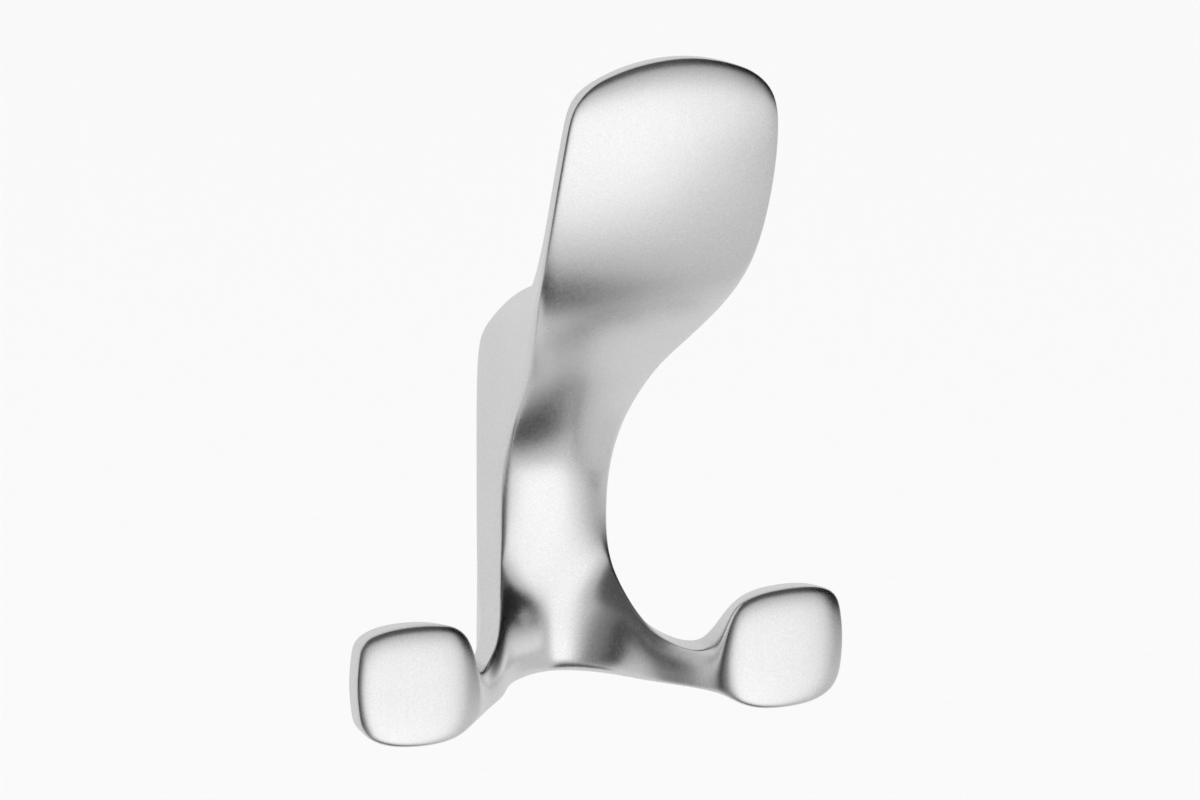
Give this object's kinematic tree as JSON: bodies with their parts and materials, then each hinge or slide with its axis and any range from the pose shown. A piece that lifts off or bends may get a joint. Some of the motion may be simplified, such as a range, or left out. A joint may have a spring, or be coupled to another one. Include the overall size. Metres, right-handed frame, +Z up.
{
  "type": "wall coat hook",
  "caption": "Wall coat hook cast in one piece: a wide upper hook and two small padded side hooks on one stem, hung on a hidden wall bracket.",
  "frame": {"origin": "on the wall plane, on the mirror plane of the hook, about 29 mm above the underside of the stem", "axes": "+Z up, +X to the right seen from the room, the wall is the plane y = 0 and the hook stands out from it towards -Y"},
  "size_m": [0.0774, 0.0685, 0.1023],
  "materials": {
    "satin_chrome": "satin chrome plate on die-cast zinc",
    "zinc_steel": "zinc-plated sheet steel",
    "screw_steel": "zinc-plated screw",
    "black_steel": "blackened hardened steel"
  },
  "bodies": {
    "wall_side": {"wall_bracket": "zinc_steel", "wall_screw_upper": "screw_steel", "wall_screw_lower": "screw_steel"},
    "hook": {"hook_body": "satin_chrome"},
    "clamp": {"grub_screw": "black_steel"}
  },
  "joints": [
    {"name": "hook_lift", "type": "slide", "parent": "wall_side", "child": "hook", "axis": [0, 0, 1], "range_m": [0, 0.0036]},
    {"name": "clamp_travel", "type": "slide", "parent": "hook", "child": "clamp", "axis": [0, 0, -1], "range_m": [0, 0.0037]}
  ],
  "couplings": [
    {"joint": "clamp_travel", "follows": "hook_lift", "ratio": 1}
  ]
}
